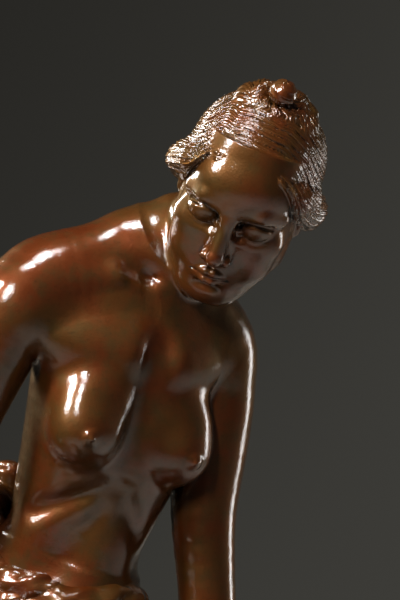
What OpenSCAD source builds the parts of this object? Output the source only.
// Bronze statuette: a seated bather leaning on one hand, cast in sections.
// The sections meet at sleeve joints, each a spigot in a socket locked by a pin.
// Frame: +Z up, the camera side is -Y, origin at the centre of the underside.

/* [Plinth] */
// Width of the plinth, side to side
plinth_w = 154; // [148:1:190]
// Depth of the plinth, front to back
plinth_d = 146; // [140:1:180]
// Height of the plinth
plinth_h = 27; // [20:1:40]
// Radius of the plinth's corners
plinth_corner = 14; // [8:1:20]
// Depth of the hollow moulding round the plinth
plinth_cove = 4; // [2:0.5:6]
// Height of the plinth's foot and of its top slab
plinth_band = 7; // [5:0.5:8]
// Thickness of the felt pad
felt_t = 1; // [0.6:0.1:2]
// Border that the felt leaves free
felt_border = 5; // [3:1:12]

/* [Terrace and rock] */
// Height of the ground slab under the feet
terrace_h = 8; // [6.5:0.5:14]
// Border between the ground slab and the plinth's edge
terrace_border = 6; // [4:0.5:8]
// Height of the seat above the ground slab
seat_h = 68; // [56:1:82]
// Height of the hand's ledge above the ground slab
ledge_h = 44; // [36:1:50]
// Radius of the core hollow in the rock
rock_core_r = 11; // [8:0.5:12]
// Thickness of the rock over its core hollow
rock_roof = 7; // [5:0.5:10]

/* [Castings] */
// Wall of the hollow bronze torso
bronze_wall = 4.6; // [4:0.1:5.6]
// Radial clearance of a spigot in its socket
sleeve_gap = 0.1; // [0.05:0.01:0.2]
// Radius of the neck spigot
neck_spigot_r = 5; // [4:0.1:6]
// Radius of each arm spigot
arm_spigot_r = 4; // [3.2:0.1:4.8]
// Radius of the waist spigot
waist_spigot_r = 6.5; // [5.4:0.1:7.8]
// Radius of each knee spigot
knee_spigot_r = 4.6; // [3.8:0.1:5.6]
// How far a spigot enters its socket
spigot_l = 8; // [6.6:0.2:9.6]
// Radius of the pins that lock the sleeve joints
pin_r = 0.9; // [0.7:0.05:1.1]
// Radius of the plugs that close the core-pin holes
plug_r = 1.6; // [1.3:0.1:2]
// Thickness of the cast cloth
cloth_t = 2.4; // [2:0.1:3]
// Clearance between the cast cloth and the flesh under it
cloth_gap = 0.15; // [0.1:0.05:0.3]
// Radius of the knot of hair on the crown
knot_r = 3; // [2.5:0.1:3.6]

/* [Fixings] */
// Radius of the tie rod
rod_r = 2.5; // [2:0.1:3]
// Radius of the terrace screws
screw_r = 1.5; // [1.2:0.1:1.8]
// Distance between the terrace screws, side to side
screw_span = 100; // [84:1:110]
// Radius of the studs under the hand and the feet
stud_r = 1.2; // [1:0.05:1.5]
// Radial clearance of a rod or screw in its hole
hole_gap = 0.25; // [0.15:0.05:0.5]
// Depth of the recesses under the plinth
recess_h = 8; // [6:0.5:12]

/* [Hidden] */
$fn = 48;

LIMB_SIDES = 14;
BODY_SIDES = 22;
FAIR = 3;

plinth_z = felt_t + plinth_h;
ground_z = plinth_z + terrace_h;
seat_z = ground_z + seat_h;
ledge_z = ground_z + ledge_h;

// The figure is set out from a point on the ground under the seat.
figure_x = 20;
figure_y = 22;
// A point of the body, from the seat up
function S(x, y, z) = [figure_x + x, figure_y + y, seat_z + z];
// A point of a foot or the rock, from the ground up
function G(x, y, z) = [figure_x + x, figure_y + y, ground_z + z];
// A point of the hand that leans on the ledge, from the ledge up
function L(x, y, z) = [figure_x + x, figure_y + y, ledge_z + z];

// ---- Lofts: stations are [centre, half width, half depth, turn of the width about Z] ----
function unit(v) = v / norm(v);
function spline(a, b, c, d, u) =
    (2 * b + (c - a) * u + (2 * a - 5 * b + 4 * c - d) * u * u
    + (3 * b - a - 3 * c + d) * u * u * u) / 2;
function between(path, i, u) =
    let (last = len(path) - 1)
    let (a = path[max(i - 1, 0)])
    let (d = path[min(i + 2, last)])
    [for (k = [0:3]) spline(a[k], path[i][k], path[i + 1][k], d[k], u)];
// The same path with FAIR smooth steps between each pair of stations
function fair(path) = concat(
    [for (i = [0:len(path) - 2], j = [0:FAIR - 1]) between(path, i, j / FAIR)],
    [path[len(path) - 1]]);
function grown(path, d) = [for (s = path) [s[0], s[1] + d, s[2] + d, s[3]]];
function along(path, i) =
    unit(path[min(i + 1, len(path) - 1)][0] - path[max(i - 1, 0)][0]);
function across(path, i) =
    let (t = along(path, i))
    let (w = [cos(path[i][3]), sin(path[i][3]), 0])
    unit(w - (w * t) * t);
function facing(path, i) = cross(across(path, i), along(path, i));
function ring(path, i, n) =
    let (s = path[i])
    let (w = across(path, i))
    let (f = facing(path, i))
    [for (k = [0:n - 1]) s[0] + s[1] * cos(360 * k / n) * w + s[2] * sin(360 * k / n) * f];

// A closed solid through stations a to b of a path, whose end rings match its neighbours' exactly
module loft(path, a, b, n, grow = 0) {
    wide = grown(path, grow);
    rows = b - a;
    points = [for (i = [a:b]) each ring(wide, i, n)];
    sides = [for (i = [0:rows - 1], k = [0:n - 1])
        [i * n + k, i * n + (k + 1) % n, (i + 1) * n + (k + 1) % n, (i + 1) * n + k]];
    ends = [[for (k = [n - 1:-1:0]) k], [for (k = [0:n - 1]) rows * n + k]];
    polyhedron(points, concat(sides, ends));
}

// Turns +Z to a direction
module point_to(d) {
    rotate([0, acos(d[2] / norm(d)), atan2(d[1], d[0])]) children();
}

module rod(from, d, r, l) {
    translate(from) point_to(d) cylinder(r = r, h = l);
}

// ---- Joints of the castings: a spigot, its socket and the pin across them ----
// j is [centre of the seam, direction the spigot enters, spigot radius, outside radius, pin's direction]
function seam(path, i, sign, r) =
    [path[i][0], sign * along(path, i), r, min(path[i][1], path[i][2]), facing(path, i)];
module spigot(j) {
    rod(j[0] - j[1], j[1], j[2], spigot_l + 1);
}
module socket(j) {
    rod(j[0] - j[1] * 0.5, j[1], j[2] + sleeve_gap, spigot_l + 1);
}
// The pin runs from the surface, past the spigot, and stops short of both skins
function pin_reach(j) = j[3] - 0.8;
module pin(j) {
    mid = j[0] + j[1] * spigot_l / 2;
    rod(mid - j[4] * (j[2] + 0.8), j[4], pin_r, pin_reach(j) + j[2] + 0.8);
}

// ---- Paths of the body ----
spine = fair([
    [S(-17, 9, 0), 19, 17, -35],
    [S(-17, 9, 13), 21.5, 18, -35],
    [S(-15.5, 8.5, 26), 19.5, 15, -25],
    [S(-10.5, 6.5, 40), 15, 12, -5],
    [S(-6.5, 4, 52), 16.5, 13, 15],
    [S(-2, 2, 65), 19, 14.5, 26],
    [S(1, 1, 78), 20.5, 14, 28],
    [S(3, 2, 89), 20, 13, 28],
    [S(5, 2.5, 98), 14, 10.5, 26],
    [S(10, 1.5, 103), 10.6, 10, 20],
    [S(17, 0, 107), 9.6, 9.4, 5],
    [S(24, -1, 110), 9, 9.2, -10],
    [S(29, -1.5, 112), 8, 8.4, -20]]);
WAIST = 2 * FAIR + 1;
NECK = 10 * FAIR;
SKULL = len(spine) - 1;

right_arm_path = fair([
    [S(-4, -1, 96), 10.5, 10, 60],
    [S(-13, -6, 97.5), 10, 10, 60],
    [S(-21, -10, 93), 9.6, 9.6, 60],
    [S(-26, -10.5, 84), 9, 9, 50],
    [S(-31, -9.5, 73), 8, 8, 40],
    [S(-37, -7, 60), 7.4, 7.2, 20],
    [S(-43.5, -3.5, 48), 6.4, 6.2, 0],
    [S(-46.5, -3.5, 42), 6.4, 5.8, -20],
    [S(-52, -12, 38), 6, 5.6, -30],
    [S(-59, -25, 33), 4.6, 4.4, -30],
    [S(-64.5, -35, 29.5), 4.4, 3.2, -30]]);
left_arm_path = fair([
    [S(6, 4, 91), 11, 10, 40],
    [S(14, 8, 90), 10, 10, 40],
    [S(20.5, 10, 84), 9.4, 9.6, 30],
    [S(21.5, 10.5, 72), 8.4, 8.8, 10],
    [S(20, 10.5, 60), 8.2, 8.6, 0],
    [S(18.6, 9.5, 46), 7.2, 7.6, 0],
    [S(19.3, 8.5, 30), 6.3, 6.6, 0],
    [S(19.8, 8.5, 20), 6.3, 6.3, 0],
    [S(21.5, 9.5, 8), 6.2, 6, -10],
    [L(24.5, 11, 21), 4.6, 4.2, -20],
    [L(26, 11, 11), 4.4, 3.6, -30]]);
ARM_SEAM = 4 * FAIR;
WRIST = len(right_arm_path) - 1;

right_leg_path = fair([
    [S(-20, 12, 15), 11, 11, -45],
    [S(-29, 10, 17.5), 14, 13.5, -45],
    [S(-44, -5, 17.5), 13.5, 13.5, -45],
    [S(-57, -20, 16), 11.5, 11.5, -45],
    [S(-66, -31, 14), 10, 10, -45],
    [S(-71, -39, 6), 9.6, 9.8, -40],
    [S(-70, -41, -6), 8.6, 9.2, -35],
    [G(-68, -42, 42), 9.4, 9.8, -35],
    [G(-67, -45, 24), 7, 7.4, -35],
    [G(-67, -47, 12), 5.4, 5.8, -35],
    [G(-68, -50, 4), 6, 8, -35]]);
left_leg_path = fair([
    [S(-14, 6, 12), 11, 9, -30],
    [S(-12, -4, 13.5), 13, 11, -30],
    [S(-21, -21, 13.5), 13.5, 12.5, -30],
    [S(-30, -37, 10), 11.5, 11.5, -30],
    [S(-36, -49, 6), 10, 10, -30],
    [S(-38, -56, -2), 9.6, 9.8, -25],
    [S(-35, -54, -14), 8.6, 9.2, -20],
    [G(-30, -48, 38), 9.2, 9.8, -20],
    [G(-24, -44, 24), 7, 7.4, -20],
    [G(-20, -43, 14), 5.4, 5.8, -20],
    [G(-19, -45, 7), 5.6, 6.6, -25]]);
KNEE = 6 * FAIR;
ANKLE = len(right_leg_path) - 1;
HEM = 4 * FAIR;

neck_seam = seam(spine, NECK, -1, neck_spigot_r);
waist_seam = seam(spine, WAIST, -1, waist_spigot_r);
right_arm_seam = seam(right_arm_path, ARM_SEAM, -1, arm_spigot_r);
left_arm_seam = seam(left_arm_path, ARM_SEAM, -1, arm_spigot_r);
right_knee_seam = seam(right_leg_path, KNEE, -1, knee_spigot_r);
left_knee_seam = seam(left_leg_path, KNEE, -1, knee_spigot_r);

// The waist takes two pins, one each side of its spigot
module waist_pin_pair() {
    mid = waist_seam[0] + waist_seam[1] * spigot_l / 2;
    side = across(spine, WAIST);
    for (s = [-1, 1])
        rod(mid + s * side * (waist_spigot_r - 2), s * side, pin_r, waist_seam[3] - waist_spigot_r + 1.2);
}

// ---- Plugs in the holes that the core pins left, set in the torso's back ----
PLUG_STATIONS = [5 * FAIR, 6 * FAIR];
module plugs(extra = 0) {
    for (i = PLUG_STATIONS) {
        back = -facing(spine, i);
        skin = spine[i][2] - 0.5;
        rod(spine[i][0] + back * (skin - bronze_wall - extra), back, plug_r, bronze_wall + 2 * extra);
    }
}

module core_plugs() {
    color("#8a5a2c") plugs();
}

// ---- Head, in its own frame: face to -Y, crown to +Z ----
HEAD_AT = S(27.8, -11, 118);
HEAD_BOW = 39;
HEAD_TURN = 3;
HEAD_LEAN = 22;
module head_frame() {
    translate(HEAD_AT) rotate([0, HEAD_LEAN, 0]) rotate([0, 0, -HEAD_TURN]) rotate([HEAD_BOW, 0, 0])
        children();
}
face_path = fair([
    [[0, -12.6, -19.8], 3.4, 3.2, 0],
    [[0, -10, -17], 7, 6.8, 0],
    [[0, -6.5, -10], 11, 11.2, 0],
    [[0, -4, -2], 12.6, 14, 0],
    [[0, -2, 6], 13, 15.6, 0],
    [[0, 0, 13], 11.6, 14.6, 0],
    [[0, 1, 18.4], 6, 9, 0]]);
hair_path = fair([
    [[0, 7.5, -11], 9, 6.5, 0],
    [[0, 6, -6], 14, 10.5, 0],
    [[0, 4.2, 2], 15.6, 13.6, 0],
    [[0, 2.6, 8.4], 14.2, 14.8, 0],
    [[0, 3.4, 13.4], 10.4, 12.4, 0],
    [[0.3, 5, 17.6], 6, 7.8, 0],
    [[0.4, 5.2, 21.6], 3.2, 3.6, 0]]);
HEAD_SIDES = 20;
KNOT_AT = [0.4, 5.2, 21.6];
module hair_rolls() {
    for (s = [-1, 1])
        hull() {
            translate([s * 12, -6, 7]) sphere(r = 4.4, $fn = 16);
            translate([s * 14.4, 1, -1]) sphere(r = 4, $fn = 16);
        }
}
module nose() {
    hull() {
        translate([0, -19.4, -6.4]) sphere(r = 1.7, $fn = 14);
        translate([0, -17, 2]) sphere(r = 1.2, $fn = 14);
        translate([0, -16, -6]) sphere(r = 2.8, $fn = 14);
    }
}
module head() {
    color("#7a4420") difference() {
        union() {
            difference() {
                union() {
                    head_frame() {
                        loft(face_path, 0, len(face_path) - 1, HEAD_SIDES);
                        loft(hair_path, 0, len(hair_path) - 1, HEAD_SIDES);
                        hair_rolls();
                        nose();
                    }
                    loft(spine, NECK, SKULL, LIMB_SIDES);
                }
                torso_skin();
            }
            spigot(neck_seam);
        }
        pin(neck_seam);
        knot();
    }
}

// The knot is cast on a short peg and driven into the crown
KNOT_PEG_L = 5;
module knot() {
    head_frame() translate(KNOT_AT) {
        translate([0, 0, knot_r * 0.8]) sphere(r = knot_r);
        translate([0, 0, -KNOT_PEG_L]) cylinder(r = knot_r / 2, h = KNOT_PEG_L + knot_r);
    }
}
module hair_knot() {
    color("#a87232") knot();
}

// ---- Torso: hollow from the waist to the collar bones, solid at its sockets ----
// Each is [to the side, to the front] of the chest's own station
BREASTS = [[-10, 6.4], [10, 6.4]];
BREAST_R = 9.6;
CHEST = 5 * FAIR;
module trunk() {
    loft(spine, WAIST, NECK, BODY_SIDES);
    for (b = BREASTS)
        translate(spine[CHEST][0] + b[0] * across(spine, CHEST) + b[1] * facing(spine, CHEST))
            sphere(r = BREAST_R);
}
// The torso's whole skin, which the castings beside it are trimmed to
module torso_skin() {
    trunk();
    loft(right_arm_path, 0, ARM_SEAM, LIMB_SIDES);
    loft(left_arm_path, 0, ARM_SEAM, LIMB_SIDES);
}
module torso() {
    hollow_from = WAIST + 5;
    hollow_to = 7 * FAIR + 1;
    color("#6e3b1c") difference() {
        union() {
            torso_skin();
            spigot(waist_seam);
        }
        loft(spine, hollow_from, hollow_to, LIMB_SIDES, -bronze_wall);
        socket(neck_seam);
        socket(right_arm_seam);
        socket(left_arm_seam);
        pin(neck_seam);
        pin(right_arm_seam);
        pin(left_arm_seam);
        waist_pin_pair();
        plugs(1);
    }
}

// ---- Arms ----
// A hand is a flat palm with four fingers and a thumb set across its end
FINGER_R = 1.5;
FINGER_PITCH = 2.9;
module digit(from, knuckle, tip, r) {
    path = fair([
        [from, r, r, 0],
        [from + knuckle, r * 0.95, r * 0.95, 0],
        [from + tip, r * 0.6, r * 0.6, 0]]);
    loft(path, 0, len(path) - 1, 8);
}
module hand(palm, side, knuckle, tip, thumb) {
    last = len(palm) - 1;
    loft(palm, 0, last, 12);
    for (k = [-1.5:1:1.5])
        digit(palm[last][0] + k * FINGER_PITCH * side - unit(knuckle), knuckle, tip, FINGER_R);
    digit(thumb[0], thumb[1], thumb[2], FINGER_R * 1.15);
}
module right_hand() {
    palm = fair([
        [S(-64.3, -34.6, 29.7), 4.2, 3, -30],
        [S(-68.6, -41.4, 24), 5.2, 2.5, -30],
        [S(-72, -46.4, 17.4), 5.6, 2.2, -30]]);
    hand(palm, [0.86, -0.5, 0], [-2.6, -4, -6.4], [-3.4, -5.8, -13],
        [S(-64.6, -42.6, 25), [1.6, -5, -4.4], [1, -8.4, -9]]);
}
module left_hand() {
    palm = fair([
        [L(26, 11, 11.4), 4.2, 3.4, -30],
        [L(28.4, 8.6, 5.4), 5, 3, -10],
        [L(32.6, 3, 3), 5.4, 2.2, 30]]);
    hand(palm, [0.78, 0.62, 0], [3.6, -4.4, -0.4], [6.4, -8.2, -1.9],
        [L(27, 6.4, 4.4), [-1.6, -5.4, -1.4], [-0.6, -10, -2.8]]);
}
HAND_STUD_AT = L(30, 6, 0);
module trimmed_arm(path) {
    difference() {
        loft(path, ARM_SEAM, WRIST, LIMB_SIDES);
        trunk();
    }
}
module right_arm() {
    color("#7a4420") difference() {
        union() {
            trimmed_arm(right_arm_path);
            right_hand();
            spigot(right_arm_seam);
        }
        pin(right_arm_seam);
    }
}
module left_arm() {
    color("#7a4420") difference() {
        union() {
            trimmed_arm(left_arm_path);
            left_hand();
            spigot(left_arm_seam);
        }
        pin(left_arm_seam);
        stud(HAND_STUD_AT);
        translate(L(30, 2, -8)) cylinder(r = 24, h = 8);
    }
}
module neck_pin() {
    color("#a87232") pin(neck_seam);
}
module right_arm_pin() {
    color("#a87232") pin(right_arm_seam);
}
module left_arm_pin() {
    color("#a87232") pin(left_arm_seam);
}
module waist_pins() {
    color("#a87232") waist_pin_pair();
}
module right_knee_pin() {
    color("#a87232") pin(right_knee_seam);
}
module left_knee_pin() {
    color("#a87232") pin(left_knee_seam);
}

// A plain stud, half in the casting and half in what it stands on
STUD_HALF = 3.4;
module stud(at, extra = 0) {
    translate(at - [0, 0, STUD_HALF + extra]) cylinder(r = stud_r, h = 2 * STUD_HALF + 2 * extra);
}
module hand_stud() {
    color("#a87232") stud(HAND_STUD_AT);
}

// ---- Hips and legs ----
ROD_AT = [figure_x - 17, figure_y + 11];
ROD_GRIP = 14;
// What sits on the rock is cut flat along its top
module seat_cut() {
    translate(S(-15, 12, -12)) cylinder(r = 34, h = 12);
}
module hips() {
    color("#6e3b1c") difference() {
        union() {
            loft(spine, 0, WAIST, BODY_SIDES);
            loft(right_leg_path, 0, KNEE, LIMB_SIDES);
            loft(left_leg_path, 0, KNEE, LIMB_SIDES);
        }
        seat_cut();
        socket(waist_seam);
        socket(right_knee_seam);
        socket(left_knee_seam);
        waist_pin_pair();
        pin(right_knee_seam);
        pin(left_knee_seam);
        translate([ROD_AT[0], ROD_AT[1], seat_z - 1]) cylinder(r = rod_r, h = ROD_GRIP + 1);
    }
}

right_foot_path = fair([
    [G(-63.5, -41, 4.6), 4.4, 4.4, -32],
    [G(-66, -46, 5.4), 5.2, 5.8, -32],
    [G(-70, -53.4, 5.6), 5.4, 5.8, -32],
    [G(-75, -62, 3.6), 6.6, 4, -32],
    [G(-79, -69, 2.2), 6.8, 2.6, -32],
    [G(-81, -72.6, 1.6), 5, 1.6, -32]]);
left_foot_path = fair([
    [G(-15.5, -39.5, 6), 4.4, 4.4, -30],
    [G(-18, -44, 7), 5.2, 5.8, -30],
    [G(-22, -51, 6.4), 5.4, 5.8, -30],
    [G(-27, -59.6, 3.8), 6.6, 4.2, -30],
    [G(-31, -66.6, 2.2), 6.8, 2.6, -30],
    [G(-33, -70, 1.6), 5, 1.6, -30]]);
RIGHT_FOOT_STUD = G(-73, -59, 0);
LEFT_FOOT_STUD = G(-26, -57.6, 0);
module lower_leg(leg, foot, j, stud_at) {
    difference() {
        union() {
            loft(leg, KNEE, ANKLE, LIMB_SIDES);
            loft(foot, 0, len(foot) - 1, LIMB_SIDES);
            spigot(j);
        }
        pin(j);
        stud(stud_at);
        translate(stud_at - [0, 0, 6]) cylinder(r = 40, h = 6);
    }
}
module right_lower_leg() {
    color("#7a4420") lower_leg(right_leg_path, right_foot_path, right_knee_seam, RIGHT_FOOT_STUD);
}
module left_lower_leg() {
    color("#7a4420") lower_leg(left_leg_path, left_foot_path, left_knee_seam, LEFT_FOOT_STUD);
}
module foot_studs() {
    color("#a87232") {
        stud(RIGHT_FOOT_STUD);
        stud(LEFT_FOOT_STUD);
    }
}

// ---- Drapery ----
WRAP_FROM = WAIST - 2;
WRAP_TO = WAIST + 1;
module waist_wrap() {
    color("#5f3117") difference() {
        loft(spine, WRAP_FROM, WRAP_TO, BODY_SIDES, cloth_gap + cloth_t);
        loft(spine, WRAP_FROM - 1, WRAP_TO + 1, BODY_SIDES, cloth_gap);
        loft(right_leg_path, 0, HEM, LIMB_SIDES, cloth_gap);
        loft(left_leg_path, 0, HEM, LIMB_SIDES, cloth_gap);
    }
}
module lap_drapery() {
    outside = cloth_gap + cloth_t;
    color("#5f3117") difference() {
        union() {
            loft(right_leg_path, 2, HEM, LIMB_SIDES, outside);
            loft(left_leg_path, 2, HEM, LIMB_SIDES, outside);
            // the cloth stretched and sunk between the thighs
            hull()
                for (p = [S(-38, -8, 25), S(-26, -18, 21), S(-56, -28, 17), S(-37, -38, 13),
                        S(-30, -8, 6), S(-50, -26, 6), S(-36, -32, 5)])
                    translate(p) sphere(r = cloth_t, $fn = 12);
        }
        loft(right_leg_path, 0, KNEE, LIMB_SIDES, cloth_gap);
        loft(left_leg_path, 0, KNEE, LIMB_SIDES, cloth_gap);
        loft(spine, 0, WAIST + 5, BODY_SIDES, cloth_gap);
        loft(spine, WRAP_FROM - 1, WRAP_TO, BODY_SIDES, outside + cloth_gap);
        loft(right_arm_path, ARM_SEAM, WRIST, LIMB_SIDES);
        right_hand();
        seat_cut();
    }
}

// The cloth on the seat turns over the rock's edge and hangs in folds to the ground
FALL_FROM = [-8, -21];
FALL_TO = [17, -13];
FALL_WAVES = 3;
FALL_STEPS = 24;
function fall_point(u, out) =
    let (run = FALL_TO - FALL_FROM)
    let (n = [run[1], -run[0]] / norm(run))
    let (wave = 1.4 * sin(360 * FALL_WAVES * u))
    [figure_x, figure_y] + FALL_FROM + run * u + n * (wave + out);
module seat_drapery() {
    front = [for (i = [0:FALL_STEPS]) fall_point(i / FALL_STEPS, cloth_t)];
    back = [for (i = [FALL_STEPS:-1:0]) fall_point(i / FALL_STEPS, 0)];
    inner = [[figure_x + 12, figure_y + 4], [figure_x - 12, figure_y - 4]];
    color("#5f3117") difference() {
        union() {
            translate([0, 0, ground_z]) linear_extrude(height = seat_h + cloth_t) polygon(concat(front, back));
            translate([0, 0, seat_z]) linear_extrude(height = cloth_t) polygon(concat(front, inner));
        }
        loft(spine, 0, 2 * FAIR, BODY_SIDES, cloth_gap);
        loft(left_leg_path, 0, HEM, LIMB_SIDES, 2 * cloth_gap + cloth_t);
    }
}

// ---- Rock ----
// A rock is a loft of uneven rings: [height, centre, half width, half depth]
ROCK_SIDES = 26;
function crag_point(s, k) =
    let (a = 360 * k / ROCK_SIDES)
    let (rough = 1 + 0.045 * sin(3 * a + 3 * s[0]) + 0.035 * sin(7 * a - 5 * s[0]))
    [figure_x + s[1][0] + s[2] * rough * cos(a), figure_y + s[1][1] + s[3] * rough * sin(a), s[0]];
module crag(rows) {
    n = ROCK_SIDES;
    top = len(rows) - 1;
    points = [for (s = rows, k = [0:n - 1]) crag_point(s, k)];
    sides = [for (i = [0:top - 1], k = [0:n - 1])
        [i * n + k, (i + 1) * n + k, (i + 1) * n + (k + 1) % n, i * n + (k + 1) % n]];
    ends = [[for (k = [0:n - 1]) k], [for (k = [n - 1:-1:0]) top * n + k]];
    polyhedron(points, concat(sides, ends));
}
module rock_seat() {
    color("#4a2a16") difference() {
        union() {
            crag([
                [ground_z, [-15, 13], 34, 27],
                [ground_z + seat_h * 0.15, [-15, 13], 31, 25.5],
                [ground_z + seat_h * 0.45, [-16, 14], 28, 25],
                [ground_z + seat_h * 0.7, [-16, 13], 28.6, 25.6],
                [ground_z + seat_h * 0.92, [-16, 12.5], 28, 25],
                [seat_z, [-16, 12], 26.4, 23.6]]);
            crag([
                [ground_z, [27, 9], 20, 23],
                [ground_z + ledge_h * 0.2, [27, 9], 17.6, 20.6],
                [ground_z + ledge_h * 0.6, [28, 8], 16.4, 19.4],
                [ground_z + ledge_h * 0.9, [28.6, 6], 16.8, 19],
                [ledge_z, [29, 5], 15.4, 17.4]]);
        }
        translate([ROD_AT[0], ROD_AT[1], ground_z - 1])
            cylinder(r = rock_core_r, h = seat_h - rock_roof + 1);
        translate([ROD_AT[0], ROD_AT[1], ground_z]) cylinder(r = rod_r + hole_gap, h = seat_h + 1);
        stud(HAND_STUD_AT);
    }
}

// ---- Terrace and plinth ----
TERRACE_POINTS = 72;
TERRACE_POWER = 0.55;
function signed_power(v, p) = sign(v) * pow(abs(v), p);
module terrace() {
    rx = plinth_w / 2 - terrace_border;
    ry = plinth_d / 2 - terrace_border;
    outline = [for (i = [0:TERRACE_POINTS - 1])
        let (a = 360 * i / TERRACE_POINTS)
        let (rough = 1 - 0.012 * (1 + sin(5 * a)) - 0.008 * (1 + sin(11 * a + 40)))
        [rx * rough * signed_power(cos(a), TERRACE_POWER), ry * rough * signed_power(sin(a), TERRACE_POWER)]];
    color("#5a3219") difference() {
        translate([0, 0, plinth_z]) linear_extrude(height = terrace_h) polygon(outline);
        translate([ROD_AT[0], ROD_AT[1], plinth_z - 1]) cylinder(r = rod_r + hole_gap, h = terrace_h + 2);
        at_screws(plinth_z - 1) cylinder(r = screw_r, h = SCREW_BITE + 1);
        stud(RIGHT_FOOT_STUD);
        stud(LEFT_FOOT_STUD);
    }
}

module rounded(w, d, r) {
    square([w - 2 * r, d], center = true);
    square([w, d - 2 * r], center = true);
    for (x = [-1, 1], y = [-1, 1])
        translate([x * (w / 2 - r), y * (d / 2 - r)]) circle(r = r);
}
module slab(z, h, inset) {
    translate([0, 0, z]) linear_extrude(height = h)
        rounded(plinth_w - 2 * inset, plinth_d - 2 * inset, plinth_corner - inset);
}
NUT_R = 2 * rod_r;
NUT_H = 1.6 * rod_r;
WASHER_R = 2.6 * rod_r;
WASHER_H = 1;
SCREW_HEAD_R = 2 * screw_r;
SCREW_HEAD_H = 1.8;
SCREW_WASHER_R = 2.6 * screw_r;
SCREW_BITE = 5.4;
module at_screws(z) {
    for (s = [-1, 1])
        translate([s * screw_span / 2, 0, z]) children();
}
module plinth() {
    color("#1d1a19") difference() {
        union() {
            slab(felt_t, plinth_band, 0);
            slab(felt_t, plinth_h, plinth_cove);
            slab(plinth_z - plinth_band * 0.6, plinth_band * 0.6, plinth_cove * 0.4);
        }
        translate([ROD_AT[0], ROD_AT[1], felt_t - 1]) {
            cylinder(r = rod_r + hole_gap, h = plinth_h + 2);
            cylinder(r = WASHER_R + 1, h = recess_h + 1);
        }
        at_screws(felt_t - 1) {
            cylinder(r = screw_r + hole_gap, h = plinth_h + 2);
            cylinder(r = SCREW_WASHER_R + 0.6, h = recess_h + 1);
        }
    }
}
module felt_pad() {
    color("#2f4a35") linear_extrude(height = felt_t)
        rounded(plinth_w - 2 * felt_border, plinth_d - 2 * felt_border, plinth_corner - felt_border);
}

// ---- Fixings ----
module tie_rod() {
    bottom = felt_t + 1;
    color("#8d8f92") translate([ROD_AT[0], ROD_AT[1], bottom])
        cylinder(r = rod_r, h = seat_z + ROD_GRIP - bottom);
}
module rod_washer() {
    color("#8d8f92") translate([ROD_AT[0], ROD_AT[1], felt_t + recess_h - WASHER_H]) difference() {
        cylinder(r = WASHER_R, h = WASHER_H);
        translate([0, 0, -1]) cylinder(r = rod_r + hole_gap, h = WASHER_H + 2);
    }
}
module rod_nut() {
    color("#b08d4a") translate([ROD_AT[0], ROD_AT[1], felt_t + recess_h - WASHER_H - NUT_H]) difference() {
        cylinder(r = NUT_R, h = NUT_H, $fn = 6);
        translate([0, 0, -1]) cylinder(r = rod_r, h = NUT_H + 2);
    }
}
module terrace_screws() {
    under = felt_t + recess_h - WASHER_H;
    color("#8d8f92") at_screws(under) {
        cylinder(r = screw_r, h = plinth_z + SCREW_BITE - under);
        mirror([0, 0, 1]) cylinder(r = SCREW_HEAD_R, h = SCREW_HEAD_H);
    }
}
module screw_washers() {
    color("#8d8f92") at_screws(felt_t + recess_h - WASHER_H) difference() {
        cylinder(r = SCREW_WASHER_R, h = WASHER_H);
        translate([0, 0, -1]) cylinder(r = screw_r + hole_gap, h = WASHER_H + 2);
    }
}

head();
hair_knot();
torso();
right_arm();
left_arm();
hips();
right_lower_leg();
left_lower_leg();
waist_wrap();
lap_drapery();
seat_drapery();
rock_seat();
terrace();
plinth();
felt_pad();
neck_pin();
right_arm_pin();
left_arm_pin();
waist_pins();
right_knee_pin();
left_knee_pin();
hand_stud();
foot_studs();
core_plugs();
tie_rod();
rod_nut();
rod_washer();
terrace_screws();
screw_washers();
